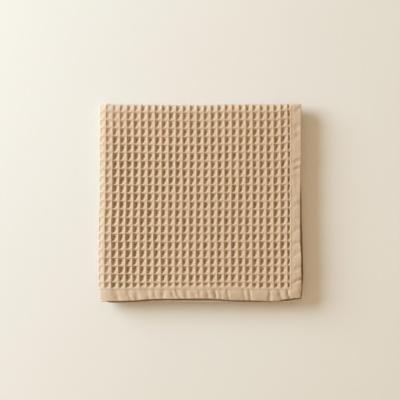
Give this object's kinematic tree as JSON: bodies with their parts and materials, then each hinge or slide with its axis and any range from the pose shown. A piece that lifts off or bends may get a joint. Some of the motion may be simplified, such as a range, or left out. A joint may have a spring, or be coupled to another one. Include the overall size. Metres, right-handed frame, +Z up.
{
  "type": "sauna towel",
  "caption": "Square waffle-weave cotton sauna towel with turned plain hems, folded in quarters and lying flat with its hemmed edges open.",
  "frame": {"origin": "on the surface that the towel lies on, under the middle of the folded towel", "axes": "+X from the first fold to the open side hems, +Y from the open front hems to the second fold, +Z up"},
  "size_m": [0.247, 0.2395, 0.0155],
  "materials": {
    "waffle_cotton": "matte sand-coloured honeycomb weave"
  },
  "bodies": {
    "root": {"towel": "waffle_cotton"}
  },
  "joints": []
}
